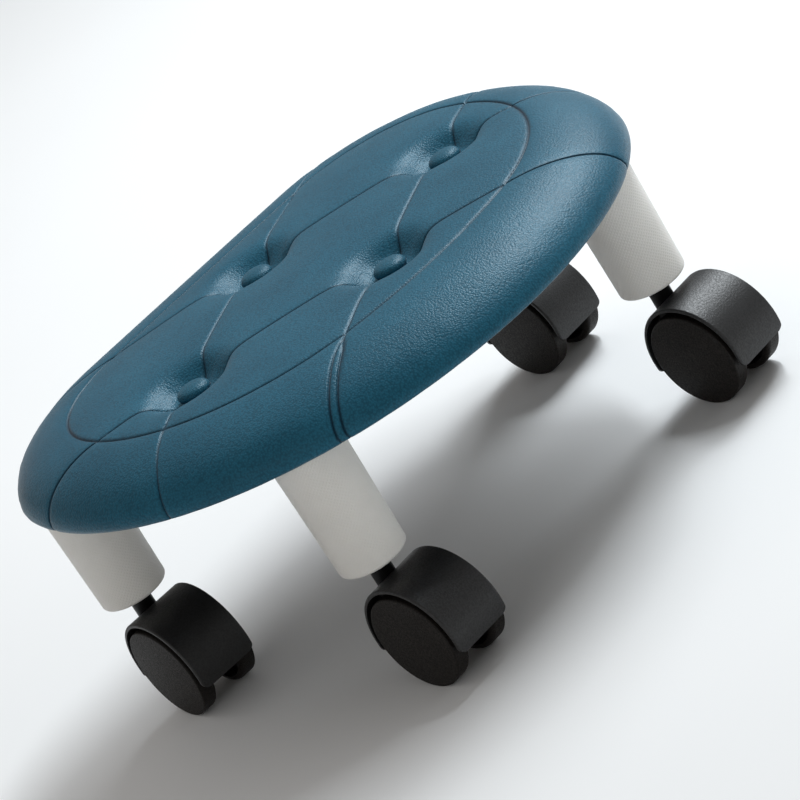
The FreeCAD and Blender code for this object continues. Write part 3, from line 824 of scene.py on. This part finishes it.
def plywood():
    """Birch plywood: flat grain on the faces, thin plies on the edge."""
    nodes = Nodes("plywood")
    stretch = nodes.tree.nodes.new("ShaderNodeMapping")
    stretch.inputs["Scale"].default_value = PLY_STRETCH
    nodes.link(nodes.place, stretch.inputs["Vector"])
    grain = nodes.noise(1.0, 6.0, 0.6, place=stretch.outputs["Vector"], distortion=0.6)
    colour = nodes.ramp(grain, ((0.52, 0.35, 0.19), (0.68, 0.50, 0.31), (0.74, 0.58, 0.39)), *SPAN)
    nodes.link(colour, nodes.shader.inputs["Base Color"])
    nodes.bump(grain, 0.0002, 0.4)
    nodes.set(Roughness=0.6)
    return nodes.material


def woven(name, tones, scale, relief, roughness=0.9):
    """Loose fibres, for dust cloth and twine."""
    nodes = Nodes(name)
    fibres = nodes.noise(scale, 6.0, 0.75, distortion=1.4)
    nodes.link(nodes.ramp(fibres, tones, *SPAN), nodes.shader.inputs["Base Color"])
    nodes.bump(fibres, relief, 0.9)
    nodes.set(Roughness=roughness, Sheen_Weight=0.2)
    return nodes.material


# the cover's leather paints shade into its grooves and seam
LEATHER = leather("cover_leather", ((0.0100, 0.092, 0.150), (0.0150, 0.117, 0.186)), shades_grooves=True)
BUTTON_LEATHER = leather("button_leather", ((0.0100, 0.088, 0.142), (0.0150, 0.112, 0.174)), 0.8)
ZINC = steel("zinc_steel", ((0.50, 0.50, 0.51), (0.66, 0.66, 0.67)), 0.34)
HOOD = black_plastic("hood_plastic", ((0.0045, 0.0042, 0.0044), (0.0075, 0.0072, 0.0078)), 0.48, 1100.0,
                     0.00018, 0.60)
WHEEL = black_plastic("wheel_plastic", ((0.0065, 0.0048, 0.0038), (0.0100, 0.0076, 0.0062)), 0.55, 1200.0,
                      0.00018, 0.22)
FINISHES = {
    "seat_board": plywood(),
    "dust_cover": woven("dust_cloth", ((0.010, 0.010, 0.011), (0.030, 0.030, 0.032)), 620.0, 0.00016),
    "button_ties": woven("twine", ((0.55, 0.51, 0.44), (0.78, 0.75, 0.69)), 900.0, 0.0002),
    "cover_staples": ZINC, "leg_bolts": ZINC, "tee_nuts": ZINC, "stem_grip_rings": ZINC, "stem_clips": ZINC,
    "stem_socket": ZINC, "caster_axle": ZINC,
    "caster_stem": steel("black_steel", ((0.020, 0.020, 0.021), (0.035, 0.035, 0.036)), 0.38),
    "leg": leg_plastic(),
    "caster_hood": HOOD, "right_wheel": WHEEL, "left_wheel": WHEEL,
}


def finish_nodes():
    """Gives every CAD node the material of its own name, or of the name it starts with."""
    for name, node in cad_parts.items():
        matches = [key for key in FINISHES if name == key or name.startswith(key + "_")]
        match = max(matches, key=len, default=None)
        if match:
            node.data.materials.clear()
            node.data.materials.append(FINISHES[match])


# ---------------------------------------------------------------- floor, light and camera
FLOOR_HALF = 6.0           # metres
SEAT = (0.0, 0.0, 0.1)     # what every light points at, in metres
ROOM_COLOUR = (1.0, 0.97, 0.93, 1.0)
ROOM_STRENGTH = 0.27
STRIP_ROLL = math.radians(-23.5)
CAMERA_TURN, CAMERA_RISE, CAMERA_ROLL = -31.05, 20.61, -32.0        # degrees
CAMERA_DISTANCE = 1996.6   # this and the target are millimetres
CAMERA_TARGET = (-3.5, 0.3, 74.0)
CAMERA_LENS = 189.5


def look_at(thing, place, target, roll=0.0):
    forward = (Vector(target) - Vector(place)).normalized()
    turn = forward.to_track_quat("-Z", "Y").to_matrix().to_4x4()
    thing.matrix_world = Matrix.Translation(place) @ turn @ Matrix.Rotation(roll, 4, "Z")


def area_light(name, place, target, size, power, colour=(1.0, 1.0, 1.0), roll=0.0):
    light = bpy.data.lights.new(name, "AREA")
    light.shape = "RECTANGLE"
    light.size, light.size_y = size
    light.energy = power
    light.color = colour
    thing = bpy.data.objects.new(name, light)
    bpy.context.scene.collection.objects.link(thing)
    look_at(thing, place, target, roll)


def make_stage():
    half = FLOOR_HALF / MM
    floor = new_object("floor", [(-half, -half, 0), (half, -half, 0), (half, half, 0), (-half, half, 0)],
                       [(0, 1, 2, 3)])
    nodes = Nodes("floor_paper")
    nodes.link(nodes.ramp(nodes.noise(3.0), ((0.86, 0.86, 0.86), (0.88, 0.88, 0.88)), *SPAN),
               nodes.shader.inputs["Base Color"])
    nodes.set(Roughness=0.7)
    floor.data.materials.append(nodes.material)

    world = bpy.data.worlds.new("studio")
    world.use_nodes = True
    world.node_tree.nodes["Background"].inputs["Color"].default_value = ROOM_COLOUR
    world.node_tree.nodes["Background"].inputs["Strength"].default_value = ROOM_STRENGTH
    bpy.context.scene.world = world

    area_light("key", (1.52, 0.35, 1.42), SEAT, (1.1, 0.9), 27.0, (0.90, 0.96, 1.0))
    area_light("strip", (1.12, -0.02, 1.74), SEAT, (1.1, 0.14), 21.0, (0.90, 0.96, 1.0), STRIP_ROLL)
    area_light("overhead", (0.0, 0.9, 2.1), SEAT, (1.6, 1.6), 5.0, (1.0, 0.97, 0.96))
    area_light("right_fill", (1.2, -1.3, 0.8), SEAT, (0.9, 0.6), 1.2, (0.84, 0.92, 1.0))
    area_light("left_fill", (-1.6, -0.7, 0.7), SEAT, (1.0, 0.8), 2.5)


def make_camera():
    camera = bpy.data.cameras.new("camera")
    camera.sensor_width = 36.0
    camera.lens = CAMERA_LENS
    thing = bpy.data.objects.new("camera", camera)
    bpy.context.scene.collection.objects.link(thing)
    turn, rise = math.radians(CAMERA_TURN), math.radians(CAMERA_RISE)
    target = Vector(CAMERA_TARGET)
    back = Vector((math.sin(turn) * math.cos(rise), -math.cos(turn) * math.cos(rise), math.sin(rise)))
    look_at(thing, (target + back * CAMERA_DISTANCE) * MM, target * MM, math.radians(CAMERA_ROLL))
    bpy.context.scene.camera = thing


bpy.context.scene.view_settings.view_transform = "Standard"
make_camera()
make_stage()
finish_nodes()
make_cushion()
for button_name in BUTTONS:
    make_button(button_name)
